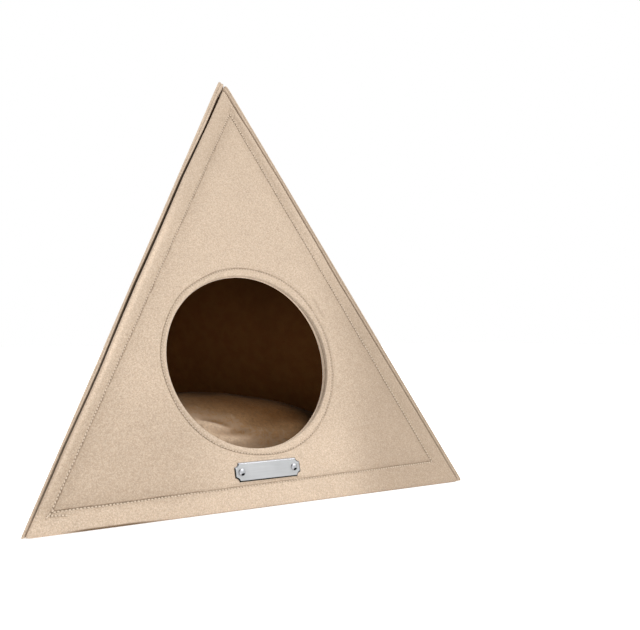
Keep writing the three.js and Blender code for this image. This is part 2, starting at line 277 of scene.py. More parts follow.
class Look:
    """A node material round one Principled shader."""

    def __init__(self, name, **constants):
        self.material = bpy.data.materials.new(name)
        self.material.use_nodes = True
        self.tree = self.material.node_tree
        self.shader = self.tree.nodes["Principled BSDF"]
        self.place = self.node("ShaderNodeTexCoord").outputs["Object"]
        for key, value in constants.items():
            self.shader.inputs[key.replace("_", " ")].default_value = value

    def node(self, kind, **settings):
        made = self.tree.nodes.new(kind)
        for key, value in settings.items():
            setattr(made, key, value)
        return made

    def feed(self, socket, source):
        if isinstance(source, bpy.types.NodeSocket):
            self.tree.links.new(source, socket)
        else:
            socket.default_value = source

    def stretched(self, scale):
        mapping = self.node("ShaderNodeMapping")
        mapping.inputs["Scale"].default_value = scale
        self.tree.links.new(self.place, mapping.inputs["Vector"])
        return mapping.outputs["Vector"]

    def grain(self, size, detail=2.0, rough=0.5, place=None):
        """Noise whose bumps have a size in millimetres."""
        made = self.node("ShaderNodeTexNoise")
        made.inputs["Scale"].default_value = 1000 / size
        made.inputs["Detail"].default_value = detail
        made.inputs["Roughness"].default_value = rough
        self.tree.links.new(place or self.place, made.inputs["Vector"])
        return made.outputs["Fac"]

    def sum(self, *terms, start=0.0):
        """start plus each source times its weight."""
        total = start
        for source, weight in terms:
            made = self.node("ShaderNodeMath", operation="MULTIPLY_ADD")
            self.feed(made.inputs[0], source)
            made.inputs[1].default_value = weight
            self.feed(made.inputs[2], total)
            total = made.outputs[0]
        return total

    def mix(self, share, first, second):
        made = self.node("ShaderNodeMix", data_type="RGBA")
        self.feed(made.inputs[0], share)
        self.feed(made.inputs[6], first)
        self.feed(made.inputs[7], second)
        return made.outputs[2]

    def ramp(self, source, low, high, kind="SMOOTHSTEP"):
        made = self.node("ShaderNodeMapRange", interpolation_type=kind)
        self.feed(made.inputs["Value"], source)
        made.inputs["From Min"].default_value = low
        made.inputs["From Max"].default_value = high
        return made.outputs["Result"]

    def turned_to(self, direction, low, high):
        """How much the surface faces one direction of the row frame."""
        made = self.node("ShaderNodeVectorMath", operation="DOT_PRODUCT")
        self.tree.links.new(self.node("ShaderNodeNewGeometry").outputs["Normal"], made.inputs[0])
        made.inputs[1].default_value = Vector(direction).normalized()
        return self.ramp(made.outputs["Value"], low, high)

    def dimmed(self, colour, strength):
        made = self.node("ShaderNodeVectorMath", operation="SCALE")
        self.feed(made.inputs[0], colour)
        self.feed(made.inputs["Scale"], strength)
        return made.outputs[0]

    def paint(self, colour):
        self.feed(self.shader.inputs["Base Color"], colour)

    def bump(self, *layers):
        """Layers of height, each with its source and its depth in millimetres."""
        normal = None
        for source, depth in layers:
            made = self.node("ShaderNodeBump")
            made.inputs["Distance"].default_value = depth * 0.001
            self.feed(made.inputs["Height"], source)
            if normal is not None:
                self.tree.links.new(normal, made.inputs["Normal"])
            normal = made.outputs["Normal"]
        self.tree.links.new(normal, self.shader.inputs["Normal"])

    def shade(self):
        made = self.node("ShaderNodeAttribute")
        made.attribute_name = "shade"
        return made.outputs["Fac"]


def felt():
    look = Look("felt", Roughness=0.94, Specular_IOR_Level=0.12,
                Sheen_Weight=0.06, Sheen_Roughness=0.55, Sheen_Tint=(1.0, 0.93, 0.84, 1))
    fine = look.grain(1.1, 3, 0.75)
    fleck = look.grain(1.9, 2, 0.6)
    blotch = look.grain(9, 2, 0.5)
    cloud = look.grain(60, 2, 0.5)
    warm = look.mix(look.ramp(fleck, 0.36, 0.66), (0.505, 0.392, 0.293, 1), (0.562, 0.451, 0.348, 1))
    # The shade attribute is painted shade that mixes the felt towards a dark brown; below 0 it is painted
    # light that makes the felt paler.
    shade = look.shade()
    painted_light = look.ramp(shade, 0.0, -1.0, "LINEAR")
    tone = look.sum((fine, 1.15), (fleck, 0.15), (blotch, 0.08), (cloud, 0.1), (painted_light, 1.1), start=0.26)
    painted_shade_brown = (0.070, 0.034, 0.006, 1)
    look.paint(look.mix(shade, look.dimmed(warm, tone), painted_shade_brown))
    look.bump((blotch, 0.3), (fleck, 0.16), (fine, 0.14))
    return look.material


def lining_cloth():
    look = Look("lining cloth", Roughness=0.97, Specular_IOR_Level=0.04,
                Sheen_Weight=0.03, Sheen_Roughness=0.5)
    fine = look.grain(1.3, 2, 0.6)
    blotch = look.grain(14, 2, 0.5)
    brown = look.mix(look.ramp(blotch, 0.3, 0.7), (0.310, 0.112, 0.030, 1), (0.330, 0.135, 0.036, 1))
    # Painted shade: the shade attribute darkens the lining towards a near black brown.
    brown = look.mix(look.shade(), brown, (0.030, 0.010, 0.003, 1))
    look.paint(look.dimmed(brown, look.sum((fine, 0.3), (blotch, 0.1), start=0.8)))
    look.bump((blotch, 0.5), (fine, 0.25))
    return look.material


def plush():
    look = Look("plush", Roughness=1.0, Specular_IOR_Level=0.03,
                Sheen_Weight=0.03, Sheen_Roughness=0.45, Sheen_Tint=(1.0, 0.9, 0.78, 1))
    tuft = look.grain(3.2, 4, 0.8)
    brushed = look.grain(7, 3, 0.6, look.stretched((1.0, 0.45, 1.0)))
    cloud = look.grain(38, 2, 0.5)
    # Lit, half-shaded and dark copies of the pile's colour: painted light and shade, picked by the shade
    # attribute.
    lit_pile = look.mix(look.ramp(brushed, 0.3, 0.7), (0.420, 0.304, 0.208, 1), (0.560, 0.420, 0.300, 1))
    half = look.mix(look.ramp(brushed, 0.3, 0.7), (0.124, 0.068, 0.031, 1), (0.176, 0.099, 0.048, 1))
    share = look.sum((tuft, 0.5), (brushed, 0.4), (cloud, 0.16), (look.shade(), 1.0), start=-0.53)
    pile = look.mix(look.ramp(share, 0.0, 0.5, "LINEAR"), lit_pile, half)
    pile = look.mix(look.ramp(share, 0.5, 1.0, "LINEAR"), pile, (0.074, 0.032, 0.010, 1))
    look.paint(look.dimmed(pile, look.sum((tuft, 1.7), start=0.15)))
    look.bump((brushed, 1.4), (tuft, 0.8))
    return look.material


def thread():
    look = Look("thread", Roughness=0.9, Specular_IOR_Level=0.1)
    strand = look.grain(0.7, 2, 0.5)
    colour = look.mix(look.ramp(strand, 0.35, 0.65), (0.52, 0.42, 0.325, 1), (0.62, 0.515, 0.405, 1))
    # Painted shade: the shade attribute darkens the thread where it dips into the cloth.
    look.paint(look.mix(look.shade(), colour, (0.075, 0.036, 0.008, 1)))
    look.bump((strand, 0.12))
    return look.material


def brushed_steel():
    """Bright and brushed lengthwise, with a painted reflection on its bevels: grey, and near black where they
    turn down.
    """
    look = Look("brushed steel", Metallic=1.0)
    line = look.grain(1.0, 3, 0.6, look.stretched((0.03, 1.6, 1.6)))
    cloud = look.grain(22, 2, 0.5)
    face = look.dimmed((0.70, 0.71, 0.72), look.sum((line, 0.2), (cloud, 0.2), start=0.78))
    turned_down = look.turned_to((-0.5, 0.3, -0.8), -0.42, -0.15)
    edge = look.mix(turned_down, (0.2, 0.2, 0.21, 1), (0.015, 0.015, 0.013, 1))
    look.paint(look.mix(look.turned_to(FRONT_FACING, 0.99, 0.93), face, edge))
    look.feed(look.shader.inputs["Roughness"], look.sum((line, 0.14), (cloud, 0.08), start=0.3))
    look.bump((line, 0.02))
    return look.material


def polished_steel():
    """The rivets, with painted reflections: a grey rim, a faint arc at the upper left and a dark spot below.
    """
    look = Look("polished steel", Metallic=1.0)
    wear = look.grain(1.5, 3, 0.6)
    rim = look.turned_to(FRONT_FACING, 0.90, 0.60)
    arc = look.turned_to((-0.57, -0.56, 0.61), 0.95, 0.98)
    spot = look.turned_to((0.09, -0.966, -0.242), 0.91, 0.945)
    dome = look.mix(rim, (0.47, 0.48, 0.50, 1), (0.33, 0.33, 0.34, 1))
    dome = look.mix(arc, dome, (0.16, 0.16, 0.17, 1))
    look.paint(look.mix(spot, dome, (0.006, 0.006, 0.007, 1)))
    look.feed(look.shader.inputs["Roughness"], look.sum((wear, 0.12), start=0.44))
    look.bump((wear, 0.01))
    return look.material


FELT = felt()
LINING = lining_cloth()
PLUSH = plush()
THREAD = thread()
STEEL = brushed_steel()
POLISH = polished_steel()


# The front wall

def left_half(v):
    """Half the width of the left joint, at a height up the slope."""
    return LEFT_SLOT_HALF + LEFT_SLOT_MORE * ease(170, 240, v) * ease(460, 400, v)


def left_margin(v):
    return from_table(LEFT_SLOT, v) + left_half(v)


def right_margin(v):
    return from_table(RIGHT_SLOT, v) + RIGHT_SLOT_HALF


def beside_plate(u, v, reach):
    """1 under the metal plate, falling to 0 over a distance outside it."""
    out_u = np.maximum(np.abs(u - PLATE["u"]) - PLATE["wide"] / 2, 0)
    out_v = np.maximum(np.abs(v - PLATE["v"]) - PLATE["high"] / 2, 0)
    return 1 - ease(0, reach, np.hypot(out_u, out_v))


def unevenness(u, v):
    """Slow waves of the cloth, the crease by the doorway and the dents of the short stitch rows."""
    wave = 0.5 * wander(1, 85, u, v) + 0.22 * wander(2, 30, u, v) + 0.08 * wander(3, 11, u, v)
    wave = wave - 0.4 * smooth_bump(away_from_segment(u, v, *CREASE) / 1.7)
    for tail in STITCH_TAILS:
        wave = wave - 0.55 * smooth_bump(away_from_segment(u, v, *tail) / 2.0)
    return wave


def front_painted_shade(u, v):
    """Painted shade on the front felt: a little everywhere, less at the bottom in the middle, and more
    towards the tip, the right edge and the lower left of the field.
    """
    tone = 0.06 - 0.06 * ease(-120, -70, u) * ease(130, 80, u) * ease(110, 60, v)
    tone = tone + 0.07 * ease(300, 470, v) + 0.26 * ease(75, 160, u) * ease(400, 290, v)
    return tone + 0.14 * ease(-30, -110, u) * ease(170, 70, v) * ease(14, 26, v)


def front_wall():
    """A closed ring of cloth: back, outer edge, border, field and doorway. Returns its two stitch lines."""
    count = 760
    angle = even_rays(count, wall_edges(0, 0, 7.5, 7.5), WALL_CORNERS)
    plain_u, rough_v = wall_loop(angle, wall_edges(0, 0, 6, 6))
    left, right = left_margin(rough_v), right_margin(rough_v)
    past_left, past_right = left - 2 * left_half(rough_v) + GAP, right - 2 * RIGHT_SLOT_HALF + GAP
    rows = []  # u, v, height and shade of each row, from the middle of the back over the face to the rim

    def add(u, v, height, dark=0.0):
        tone = front_painted_shade(u, v)
        rows.append((u, v, height + np.zeros(count), np.clip(tone + dark * (1 - tone), -1, 1)))

    def edge_row(depth, inset, past_joint=False, dark=0.0):
        sides = (past_left, past_right) if past_joint else (left, right)
        u, v = wall_loop(angle, wall_edges(depth, inset, *sides))
        add(u, v, -depth, dark)

    edge_out = from_round_table(RIM_OUT, angle)

    def rim(out):
        reach = DOOR_RADIUS + edge_out + out
        return DOOR[0] + reach * np.cos(angle), DOOR[1] + reach * np.sin(angle)

    # Back of the wall
    back_rim = rim(16)
    back_edge = wall_loop(angle, wall_edges(FRONT_THICK, 1.6, past_left, past_right))
    for share in (0.02, 0.2, 0.4, 0.6, 0.8, 0.95):
        u, v = (a + (b - a) * share for a, b in zip(back_rim, back_edge))
        add(u, v, -FRONT_THICK + 0.5 * (1 - share) * (wander(8, 60, u, v) + 0.5) * ease(0, 0.2, share))
    # Its lip in the joint, the joint's wall, and the rounded edge
    edge_row(FRONT_THICK - 0.3, 0.5, past_joint=True)
    edge_row(FRONT_THICK - 1.0, 0.1, past_joint=True)
    at_left, at_right = ease(0.3, 0.6, -np.cos(angle)), ease(0.3, 0.6, np.cos(angle))
    at_side = np.maximum(at_left, at_right)
    at_bottom = ease(0.3, 0.6, -np.sin(angle))
    at_corner = 1 - ease(-170, -110, plain_u)
    cut = ease(4, 60, rough_v) * (1 - at_left * ease(498, 514, rough_v))
    cut = cut * (1 - at_right * ease(494, 510, rough_v))
    slot_deep = SLOT_SHALLOW + (SLOT_DEEP - SLOT_SHALLOW) * cut
    # Painted shade: the joint's walls darken with their depth, and the underside of the bottom edge darkens,
    # most towards the left corner.
    under = at_bottom * (0.5 + 0.5 * at_corner) * ease(-235, -205, plain_u)
    slot_dark = (0.16 + 0.84 * cut) * at_side + 0.5 * (1 - at_side)
    edge_row(slot_deep + 0.2, 0.2, past_joint=True, dark=0.9 * slot_dark)
    edge_row(slot_deep, 0.3, dark=0.95 * slot_dark)
    for share in (0.75, 0.5, 0.25):
        edge_row(LIP + (slot_deep - LIP) * share, 0.0, dark=(0.3 + 0.6 * share) * slot_dark)
    for step in range(7):
        turn = step / 6 * math.pi / 2
        dark = 0.3 * slot_dark * (1 - step / 6) ** 2
        dark = dark + 0.9 * under * np.clip(1.6 + 0.9 * at_corner - step / 3, 0, 1)
        edge_row(FRONT_ROUND * (1 - math.sin(turn)), FRONT_ROUND * (1 - math.cos(turn)), dark=dark)

    # Border strip, stitched valley and field
    seam_edges = [edge_between(STITCH_CORNERS[n - 1], STITCH_CORNERS[n]) for n in range(3)]
    plain = wall_loop(angle, seam_edges, SEAM_CORNERS)
    wobble = 0.45 * wander(4, 38, *plain)
    sink = SEAM_SINK * (1 - 0.75 * at_right) * (1 - 0.4 * at_bottom)
    pucker = wander(5, 9, *plain) + 0.6 * wander(6, 4.5, *plain)

    def seam_row(inwards):
        edges = [(normal, reach - inwards + wobble) for normal, reach in seam_edges]
        return wall_loop(angle, edges, SEAM_CORNERS)

    strip_start = wall_loop(angle, wall_edges(0, FRONT_ROUND, left, right))
    strip_end = seam_row(-VALLEY_HALF)
    for share in (0.04, 0.1, 0.17, 0.25, 0.34, 0.44, 0.55, 0.66, 0.77, 0.88, 1.0):
        u, v = (a + (b - a) * share for a, b in zip(strip_start, strip_end))
        height = 0.75 * math.sin(math.pi * min(1, share * 0.9 + 0.1)) ** 0.6 - sink * share**1.3
        height = height + 0.5 * unevenness(u, v) * math.sin(math.pi * share / 2) + 0.35 * share**2 * pucker
        # Painted shade darkens the strip towards the stitches, and painted light brightens its ridge along
        # the left edge.
        dark = (0.09 * share - 0.2 * at_left * (1 - ease(0.2, 0.6, share))) * (1 - at_bottom) * (1 - at_right)
        add(u, v, height, dark)
    # Painted shade along the stitched valley, deeper along the left part of the bottom seam, and a little on
    # the cloth beside it.
    seam_dark = 0.16 + 0.22 * at_bottom * (1 - 1.3 * ease(-130, -70, plain[0]))
    for inwards in (-2.4, -1.6, -0.9, -0.4, 0.0, 0.4, 0.9, 1.6, 2.4, VALLEY_HALF):
        u, v = seam_row(inwards)
        press = smooth_bump(inwards / 1.15)
        height = 0.35 * pucker * (1 - press) + 0.5 * unevenness(u, v) - (1.05 + 0.2 * pucker) * press
        height = height - sink * (1 - 0.04 * abs(inwards))
        flat = beside_plate(u, v, 9)
        height = height * (1 - flat) + np.minimum(height, 0.05) * flat
        dark = (0.09 if inwards > 0 else 0.09 * (1 - at_bottom) * (1 - at_right)) + 0.03 * pucker
        dark = dark + (seam_dark + 0.12 * pucker) * smooth_bump((inwards - 0.4) / 0.9)
        add(u, v, height, np.maximum(dark, 0))
        if inwards == 0:
            seam_line = rows[-1]

    ring_out = from_round_table(RING_STITCHING, angle)
    ring_start = rim(ring_out + RING_VALLEY_OUT)
    ring_pucker = wander(11, 7, *rim(0)) + 0.5 * wander(12, 3.6, *rim(0))
    field_start = seam_row(VALLEY_HALF)
    for step in range(1, 20):
        share = (1 - math.cos(step / 20 * math.pi)) / 2
        u, v = (a + (b - a) * share for a, b in zip(field_start, ring_start))
        to_seam = np.hypot(u - field_start[0], v - field_start[1])
        to_ring = np.hypot(u - ring_start[0], v - ring_start[1])
        height = -sink * 0.86 * np.exp(-to_seam / 13) + 1.1 * (1 - np.exp(-to_seam / 22))
        height = height - 0.25 * smooth_bump(to_ring / 9)
        height = height + unevenness(u, v) * (0.5 + 0.5 * ease(0, 12, to_seam))
        height = height + 0.22 * pucker * smooth_bump(to_seam / 7)
        height = height + 0.2 * ring_pucker * smooth_bump(to_ring / 6)
        flat = beside_plate(u, v, 7)
        height = height * (1 - flat) + np.minimum(height * 0.2, 0.08) * flat
        # Painted shade on the field near the seam, less at the bottom, and along the crease.
        dark = 0.09 * np.exp(-to_seam / 12) * (1 - 0.7 * at_bottom * ease(-150, -90, u))
        add(u, v, height, dark + 0.25 * smooth_bump(away_from_segment(u, v, *CREASE) / 1.4))

    # Ring round the doorway
    for off in (RING_VALLEY_OUT, 2.3, 1.5, 0.8, 0.3, 0.0, -0.4, -0.9, -1.5, -RING_VALLEY_IN):
        u, v = rim(ring_out + off)
        press = smooth_bump(off / 1.1)
        height = 0.45 + 0.5 * unevenness(u, v) + 0.24 * ring_pucker * (1 - press)
        height = height - (1.3 + 0.1 * ring_pucker) * press
        if off < 0:
            height = height + 0.15 * (1 - press)
        # Painted shade along the ring's stitched valley, lighter on the doorway's right side.
        ring_dark = 0.3 - 0.16 * ease(0, 0.7, np.cos(angle)) + 0.1 * ring_pucker
        add(u, v, height, ring_dark * smooth_bump((off - 0.3) / 0.8))
        if off == 0:
            ring_line = rows[-1]
    roll = RIM_ROLL + 0.2 * ring_pucker
    for share in (0.25, 0.5, 0.75):
        u, v = rim((ring_out - RING_VALLEY_IN) * (1 - share) + roll * share)
        height = 0.6 + 0.4 * math.sin(math.pi * share) + 0.4 * unevenness(u, v)
        add(u, v, height + 0.2 * ring_pucker * (1 - share))

    # Rim, rolled in, and its facing in two bands with a seam between them
    deep = from_round_table(RIM_DEPTH, angle) + 0.25 * ring_pucker
    facing_seam = np.minimum(5.4, deep * 0.5)
    for turn in (0, 18, 36, 54, 72, 90):
        bend = math.radians(turn)
        u, v = rim(roll * (1 - math.sin(bend)) - 0.15 * math.sin(2 * bend))
        add(u, v, 0.6 - roll * (1 - math.cos(bend)) + 0.4 * unevenness(u, v) * math.cos(bend))
    # Painted light makes the facing paler where its dark value is below 0, and painted shade darkens the seam
    # between its two bands.
    for share, out, dark in ((0.35, -0.15, -0.5), (0.62, 0.2, -0.3), (0.82, 0.9, 0.1), (1.0, 2.0, 0.5)):
        u, v = rim(out)
        add(u, v, -(1.6 + (facing_seam - 1.6) * share), dark)
    for share, out, dark in (
        (0.1, 1.0, 0.3), (0.28, 0.2, -0.3), (0.52, 0.0, -0.7),
        (0.78, 0.1, -0.9), (0.92, 0.7, -0.9), (1.0, 2.2, -0.5),
    ):
        u, v = rim(out + 0.12 * ring_pucker)
        add(u, v, -(facing_seam + (deep - facing_seam) * share), dark)
    for out, share, rise in ((5.0, 0.25, 0.2), (10.0, 0.75, 0.0)):
        u, v = rim(out)
        add(u, v, -(deep * (1 - share) + FRONT_THICK * share) + rise)

    u, v, height, dark = (np.array([row[k] for row in rows]) for k in range(4))
    points = stand(0, u, height, v)
    points[..., 2] = np.maximum(points[..., 2], 0.0)
    faces = band_faces(len(rows), count, True)
    piece = make_piece("front_cloth", points, faces, FELT, ("front_panel",), dark)
    return seam_line, ring_line


# Topstitching

def stitch_row(u, v, height, seed, closed=True, aside=0.0, lift=0.0):
    """Stitches along a row of points, moved aside to its right: place, height and heading of each."""
    if closed:
        u, v, height = (np.append(a, a[0]) for a in (u, v, height))
    along = np.concatenate([[0], np.cumsum(np.hypot(np.diff(u), np.diff(v)))])
    number = max(2, round(along[-1] / STITCH_PITCH))
    at = (np.arange(number) + 0.5) / number * along[-1]
    at = at + 0.25 * wander(seed, 1.7, at)
    spot = [np.interp(at, along, a) for a in (u, v, height)]
    ahead = [np.interp(at + 1.2, along, a) - np.interp(at - 1.2, along, a) for a in (u, v)]
    heading = np.arctan2(ahead[1], ahead[0])
    for sideways in (aside, 0.35 * wander(seed + 2, 1.9, at)):
        spot[0] += sideways * np.sin(heading)
        spot[1] -= sideways * np.cos(heading)
    buried = 0.3 * wander(seed + 3, 2.3, at) - 0.12 + lift
    heading = heading + 0.3 * wander(seed + 1, 1.3, at) + 0.15
    return np.stack([spot[0], spot[1], spot[2] + buried, heading], -1)


def sew(name, turn, stitches, thick=1.0, sides=6):
    """One mesh of short bent stitches that dip into the cloth at both ends."""
    sections = [  # along, rise, radius, dark (painted shade where the thread dips into the cloth)
        (-1.76, -0.85, 0.3, 0.8), (-1.5, -0.3, 0.56, 0.7), (-1.1, 0.1, 0.78, 0.1), (-0.5, 0.32, 0.88, 0.0),
        (0.5, 0.32, 0.88, 0.0), (1.1, 0.1, 0.78, 0.1), (1.5, -0.3, 0.56, 0.7), (1.76, -0.85, 0.3, 0.8),
    ]
    last = (len(sections) - 1) * sides
    ends = [list(range(sides)), [last + i for i in reversed(range(sides))]]
    stitch_faces = band_faces(len(sections), sides, False) + ends
    round_about = np.arange(sides) / sides * 2 * math.pi
    points, faces, dark = [], [], []
    for spot_u, spot_v, height, heading in stitches:
        start = len(points) * sides
        for along, rise, radius, shade in sections:
            radius = radius * thick
            across = radius * np.cos(round_about)
            u = spot_u + along * math.cos(heading) - across * math.sin(heading)
            v = spot_v + along * math.sin(heading) + across * math.cos(heading)
            points.append(stand(turn, u, height + 0.22 + rise + radius * np.sin(round_about), v))
            dark.append(np.full(sides, shade))
        faces += [[start + i for i in face] for face in stitch_faces]
    return make_piece(name, np.array(points), faces, THREAD, shade=np.array(dark))


seam_line, ring_line = front_wall()
tail_rows = []
for number, (start, end) in enumerate(STITCH_TAILS):
    u, v = (np.linspace(a, b, 12) for a, b in zip(start, end))
    tail_rows.append(stitch_row(u, v, unevenness(u, v) * 0.5 - 0.35, 40 + number, closed=False))
border_rows = [stitch_row(*seam_line[:3], 20, aside=0.5, lift=0.12), *tail_rows]
sew("border_stitches", 0, np.concatenate(border_rows))
sew("ring_stitches", 0, stitch_row(*ring_line[:3], 30, aside=-0.4, lift=0.25), 0.78)


# The side walls

def side_wall(name, turn, front_on_right, top, node, seed):
    """A side wall. Its edge beside the front wall is cut square and shows as a narrow strip."""
    count = 660
    butt = 0.0 if front_on_right else (SIDE_THICK + GAP) / math.sin(MEETING)
    plain_edges = wall_edges(0, 0, 0.0, butt, top=top)
    angle = even_rays(count, plain_edges, WALL_CORNERS)
    plain_u, plain_v = wall_loop(angle, plain_edges)
    # Painted shade: cut_shade darkens the cut edge, the right one more so low down, and joint_shade darkens
    # the wall inside the joint.
    if front_on_right:
        strip = from_table(LEFT_SLOT, plain_v) - left_half(plain_v)
        sides = (0.0, 0.0)
        cut_shade = 0.07 + 0.05 * ease(420, 500, plain_v)
        joint_shade = 0.55 + 0.45 * ease(130, 240, plain_v)
    else:
        strip = from_table(RIGHT_SLOT, plain_v) - RIGHT_SLOT_HALF
        sides = (0.0, butt + 3.0 * ease(470, 522, plain_v))
        cut_shade = 0.2 + 0.12 * ease(430, 260, plain_v)
        joint_shade = 0.3
    at_front = ease(0.25, 0.6, np.cos(angle - (HALF_TIP if front_on_right else math.pi - HALF_TIP)))
    shows = np.maximum(at_front, ease(500, 526, plain_v))  # the cut edge shows by the front and at the tip
    thick = SIDE_THICK + (strip * math.sin(MEETING) - SIDE_THICK) * shows
    swell_height = 0.9
    rows = []  # u, v, height and shade of each row, from the middle of the outer face to the inner one's

    def swelling(u, v):
        return 0.5 * wander(seed, 80, u, v) + 0.2 * wander(seed + 1, 26, u, v)

    def add(depth, inset, height, dark=0.0, lift=None):
        u, v = wall_loop(angle, wall_edges(depth, inset, *sides, top=top))
        height = height + np.zeros(count)
        if lift is not None:
            height = height + lift * swelling(u, v)
        rows.append((u, v, height, dark + np.zeros(count)))

    # Outer face with its stitched valley, darkened by painted shade
    pucker = wander(seed + 2, 9, plain_u, plain_v)
    for inset in (158, 145, 130, 114, 98, 84, 70, 58, 47, 38, 31, 27):
        add(0, inset, 0.12 * pucker * smooth_bump((inset - SIDE_STITCHING) / 8), lift=swell_height)
    for off in (2.6, 1.7, 0.9, 0.35, 0.0, -0.35, -0.9, -1.7, -2.6):
        press = smooth_bump(off / 1.1)
        height = -0.85 * press + 0.15 * pucker * (1 - press)
        add(0, SIDE_STITCHING + off, height, 0.34 * smooth_bump((off - 0.2) / 0.9), lift=0.6)
        if off == 0:
            line = rows[-1]
    for inset in (17.5, 15, 12, 9, 6, 3.5, 1.8):
        height = 0.1 * math.sin(inset / SIDE_STITCHING * math.pi) + 0.1 * pucker * inset / 18
        add(0, inset, height, lift=0.5 * inset / 18)
    # Rounded edge, cut edge with a groove between its two layers, and inner face. Painted shade darkens the
    # cut edge, more in its groove, and the inner face inside the joint
    for turned in (0, 30, 60, 90):
        bend = math.radians(turned)
        depth = CUT_ROUND * (1 - math.cos(bend))
        add(depth, CUT_ROUND * (1 - math.sin(bend)), -depth)
    groove = 0.5 * shows + 0.1
    for share, cut in (
        (0.16, 0.0), (0.3, 0.02), (0.42, 0.35), (0.5, 1.0), (0.58, 0.35), (0.72, 0.02), (0.88, 0.0),
    ):
        depth = CUT_ROUND + (thick - 1.1) * share
        add(depth, groove * cut, -depth, cut_shade + 0.25 * cut)
    in_slot = at_front * ease(8, 60, plain_v) * ease(520, 500, plain_v) * joint_shade
    for depth_left, inset in ((0.3, 0.08), (0.08, 0.3), (0.0, 0.8)):
        depth = thick - depth_left
        add(depth, inset, -depth, 0.12 + 0.6 * in_slot * (depth_left < 0.2))
    for inset in (2.5, 5, 8, 12, 18, 27, 45, 75, 110, 145, 158):
        settled = SIDE_THICK + (thick - SIDE_THICK) * math.exp(-((inset / 7) ** 2))
        add(settled, inset, -settled, 0.95 * in_slot * (inset < 15))

    u, v, height, dark = (np.array([row[k] for row in rows]) for k in range(4))
    heart_heights = np.array([swell_height, 0.0]) * swelling(*HEART) - np.array([0, SIDE_THICK])
    middles = stand(turn, HEART[0], heart_heights, HEART[1])
    points, faces = closed_body(stand(turn, u, height, v), middles)
    points[:, 2] = np.maximum(points[:, 2], 0.0)
    piece = make_piece(name, points, faces, FELT, (node,), np.append(dark.ravel(), [0, 0]))
    stitches = sew(name + "_stitches", turn, stitch_row(*line[:3], seed + 5), 0.75, 5)


# Linings and floor

def lining(name, turn, left, right, node, seed, painted_shade):
    """Inner cloth of a side wall, with a slight sag. Its last argument is painted shade: how dark it is, and
    what u and height add to it.
    """
    count = 420
    depth = SIDE_THICK + GAP
    margins = (left / math.sin(MEETING), right / math.sin(MEETING))
    angle = even_rays(count, wall_edges(depth, 0, *margins, floor=depth), INNER_CORNERS)
    rows = []

    def sag_at(inset, u, v):
        wave = 0.9 + 0.9 * wander(seed, 70, u, v) + 0.35 * wander(seed + 1, 24, u, v)
        return np.maximum(wave * (1 - math.exp(-inset / 25)), 0)

    def add(inset, lower, hem):
        u, v = wall_loop(angle, wall_edges(depth + lower, inset, *margins, floor=depth), INNER_CORNERS)
        rows.append((u, v, -(depth + lower + sag_at(inset, u, v)) - hem))

    insets = (150, 130, 110, 92, 76, 62, 50, 40, 31, 24, 18, 13, 9, 6, 3.5, 1.6)
    for inset in insets:
        add(inset, 0.0, 0.0)
    for inset, lower in ((0.7, 0.05), (0.2, 0.3), (0.0, 0.8), (0.2, 1.3), (0.7, 1.55)):
        add(inset, lower, 0.0)
    for inset in reversed(insets):
        add(inset, LINING_THICK, 0.25 * smooth_bump((inset - 8) / 5))

    u, v, height = (np.array([row[k] for row in rows]) for k in range(3))
    heart_heights = -depth - sag_at(insets[0], *HEART) - np.array([0, LINING_THICK])
    middles = stand(turn, HEART[0], heart_heights, HEART[1])
    points, faces = closed_body(stand(turn, u, height, v), middles)
    along = np.maximum(np.append(u.ravel(), [0, 0]), -15)
    # Painted shade, changing along u and with height.
    shade = np.clip(painted_shade[0] + painted_shade[1] * along + painted_shade[2] * (points[:, 2] * 1000 - 134), 0, 1)
    piece = make_piece(name, points, faces, LINING, (node,), shade)


def floor_cloth():
    count = 480
    walls = ((-math.pi / 2, FRONT_THICK), (math.pi / 6, SIDE_THICK), (5 * math.pi / 6, SIDE_THICK))
    reach = [(normal, FLOOR_REACH - (thick + GAP) / math.cos(LEAN)) for normal, thick in walls]
    angle = even_rays(count, reach, INNER_CORNERS)
    rows = []

    def add(inset, z):
        edges = [(normal, far - z * math.tan(LEAN) - inset) for normal, far in reach]
        out = soft_polygon(angle, edges, INNER_CORNERS)
        x, y = out * np.cos(angle), out * np.sin(angle)
        wave = 0.25 * wander(90, 50, x, y) * (1 - math.exp(-inset / 12)) if z > 2 else 0
        rows.append(np.stack([x, y + AXIS_Y, z - 0.1 + wave + np.zeros(count)], -1) * 0.001)

    for inset in (128, 110, 92, 75, 60, 46, 34, 24, 19.5):
        add(inset, SIDE_THICK - 0.2)
    for inset, z in (
        (18.3, 2.9), (17.5, 2.6), (16.7, 2.9), (15, 3.3), (10, 3.4), (5, 3.4), (2, 3.35), (0.6, 3.15),
        (0.1, 2.7), (0.0, 1.8), (0.1, 0.8), (0.5, 0.3), (1.4, 0.12),
        (10, 0.1), (40, 0.1), (90, 0.1), (128, 0.1),
    ):
        add(inset, z)
    middles = np.array([[0, AXIS_Y, SIDE_THICK - 0.3], [0, AXIS_Y, 0.0]]) * 0.001
    points, faces = closed_body(rows, middles)
    piece = make_piece("floor_cloth", points, faces, FELT, ("floor_panel",), np.zeros(len(points)))


floor_cloth()
side_wall("side_cloth_left", -THIRD_TURN, True, 528.6, "side_panel_left", 50)
side_wall("side_cloth_right", THIRD_TURN, False, 525.0, "side_panel_right", 60)
behind_side, behind_front = SIDE_THICK + GAP, FRONT_THICK + GAP
behind_lining = behind_side + LINING_THICK + GAP
lining("lining_cloth_left", -THIRD_TURN, behind_side, behind_front, "lining_left", 70,
       painted_shade=(0.3, 0.001, 0.0015))
lining("lining_cloth_right", THIRD_TURN, behind_front, behind_lining, "lining_right", 75,
       painted_shade=(0.57, -0.0022, 0.0024))


# The cushion

